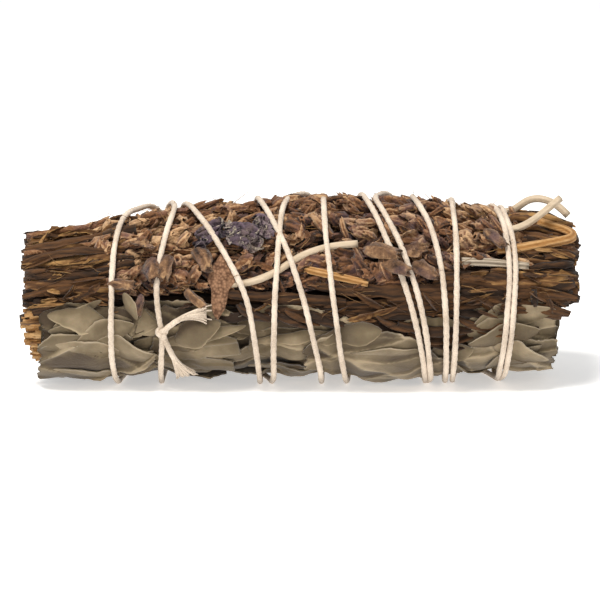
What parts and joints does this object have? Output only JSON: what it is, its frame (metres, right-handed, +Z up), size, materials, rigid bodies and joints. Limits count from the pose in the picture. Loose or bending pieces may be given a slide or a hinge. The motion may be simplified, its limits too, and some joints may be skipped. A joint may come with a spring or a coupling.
{
  "type": "bound herb bunch",
  "caption": "Cylindrical bunch of dried lavender stalks and folded sage leaves, bound round with knotted cotton string, lying on its side.",
  "frame": {"origin": "under the middle of the bunch, on the surface that it lies on", "axes": "+X along the bunch, from the end nearer the knot to the end with the loose looped stem; +Z up; the side with the knot faces -Y"},
  "size_m": [0.1106, 0.0394, 0.0375],
  "materials": {
    "cotton_string": "undyed twisted cotton, slightly hairy",
    "brown_stems": "dry, ridged and matt, like thin bark",
    "lavender_heads": "dry downy ribbed flower cups, matt",
    "sage_leaf": "dry grey-green leaf, velvety and matt",
    "pale_stem": "smooth pale dry stem",
    "golden_stem": "split golden dry stem, fibrous",
    "reddish_leaf": "pebbled red-brown dry leaf, matt",
    "flower_petal": "crumpled dry violet petal, matt"
  },
  "bodies": {
    "root": {"pale_bent_stem": "pale_stem", "golden_broken_stem": "golden_stem", "grooved_grey_stem": "pale_stem", "loop_stem": "pale_stem", "straight_end_stem": "pale_stem", "folded_end_stem": "golden_stem", "golden_stub_1": "golden_stem", "golden_stub_2": "golden_stem", "golden_stub_3": "golden_stem", "reddish_leaf": "reddish_leaf", "flower_petal_1": "flower_petal", "flower_petal_2": "flower_petal", "flower_petal_3": "flower_petal", "binding_string": "cotton_string", "lavender_left_1": "lavender_heads", "lavender_right_1": "lavender_heads", "lavender_left_2": "lavender_heads", "lavender_right_2": "lavender_heads", "lavender_left_3": "lavender_heads", "lavender_right_3": "lavender_heads", "lavender_left_4": "lavender_heads", "lavender_right_4": "lavender_heads", "sage_leaf_front_left": "sage_leaf", "sage_leaf_front_left_fold": "sage_leaf", "sage_leaf_front_crumpled": "sage_leaf", "sage_leaf_by_knot": "sage_leaf", "sage_leaf_front_low": "sage_leaf", "sage_leaf_front_middle": "sage_leaf", "sage_leaf_front_tucked": "sage_leaf", "sage_leaf_right_low": "sage_leaf", "sage_leaf_right_high": "sage_leaf", "sage_leaf_under_left": "sage_leaf", "sage_leaf_under_middle": "sage_leaf", "sage_leaf_under_right": "sage_leaf", "sage_leaf_back_left": "sage_leaf", "sage_leaf_back_left_high": "sage_leaf", "sage_leaf_back_middle": "sage_leaf", "sage_leaf_back_middle_high": "sage_leaf", "sage_leaf_back_right": "sage_leaf", "sage_leaf_back_right_high": "sage_leaf", "sage_leaf_pack": "sage_leaf", "brown_stem_bunch": "brown_stems"}
  },
  "joints": []
}
